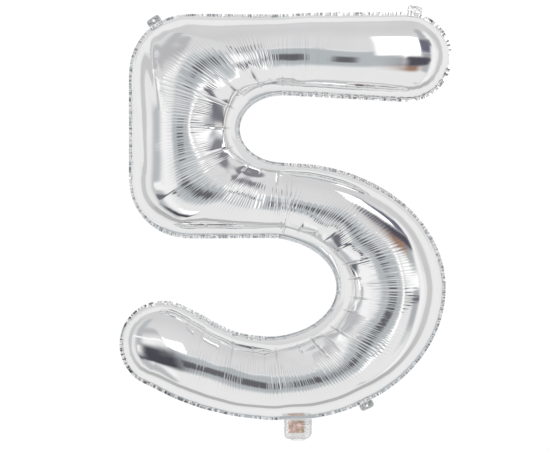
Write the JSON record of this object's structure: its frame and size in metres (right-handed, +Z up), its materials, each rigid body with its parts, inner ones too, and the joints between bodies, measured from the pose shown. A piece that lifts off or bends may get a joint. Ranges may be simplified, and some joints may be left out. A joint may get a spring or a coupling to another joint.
{
  "type": "foil number balloon",
  "caption": "Inflated foil balloon in the shape of a digit: two silver film panels sealed at the seam, with punched tabs and a filling tail",
  "frame": {"origin": "centre of the hole in the top left hang tab, on the seam plane", "axes": "+Z up the digit, +X to the right as the digit is read, the front faces -Y"},
  "size_m": [0.705, 0.1996, 0.9233],
  "materials": {
    "silver_foil": "mirror-bright metallised film",
    "seam_foil": "bright metallised film, heat sealed and finely creased",
    "valve_film": "clear to milky polyethylene film, slightly crinkled",
    "valve_ink": "matt release ink",
    "tail_film": "milky silver film, crinkled",
    "print_ink": "thin matt print"
  },
  "bodies": {
    "envelope": {"front_foil_panel": "silver_foil", "rear_foil_panel": "silver_foil", "valve_front_film": "valve_film", "valve_rear_film": "valve_film", "valve_ink_strip": "valve_ink"},
    "tail": {"tail_front_ply": "tail_film", "tail_rear_ply": "tail_film", "mouth_front_film": "valve_film", "mouth_rear_film": "valve_film", "tail_print_patch": "print_ink"},
    "tab_top_left": {"hang_tab_top_left": "seam_foil"},
    "tab_top_right": {"hang_tab_top_right": "seam_foil"},
    "tab_lower_right": {"tie_tab_lower_right": "seam_foil"}
  },
  "joints": [
    {"name": "tail_flex", "type": "hinge", "parent": "envelope", "child": "tail", "pos_m": [0.30607, 0, -0.84441], "axis": [1, 0, 0], "range_deg": [-75, 75], "stiffness_Nm_per_rad": 0.0003},
    {"name": "tab_flex_top_left", "type": "hinge", "parent": "envelope", "child": "tab_top_left", "pos_m": [0.00408, 0, -0.00641], "axis": [0.8434, 0, 0.5373], "range_deg": [-75, 75], "stiffness_Nm_per_rad": 0.0001},
    {"name": "tab_flex_top_right", "type": "hinge", "parent": "envelope", "child": "tab_top_right", "pos_m": [0.55281, 0, 0.01644], "axis": [0.9863, 0, -0.165], "range_deg": [-75, 75], "stiffness_Nm_per_rad": 0.0001},
    {"name": "tab_flex_lower_right", "type": "hinge", "parent": "envelope", "child": "tab_lower_right", "pos_m": [0.44887, 0, -0.80934], "axis": [-0.9026, 0, -0.4306], "range_deg": [-75, 75], "stiffness_Nm_per_rad": 0.0001}
  ]
}
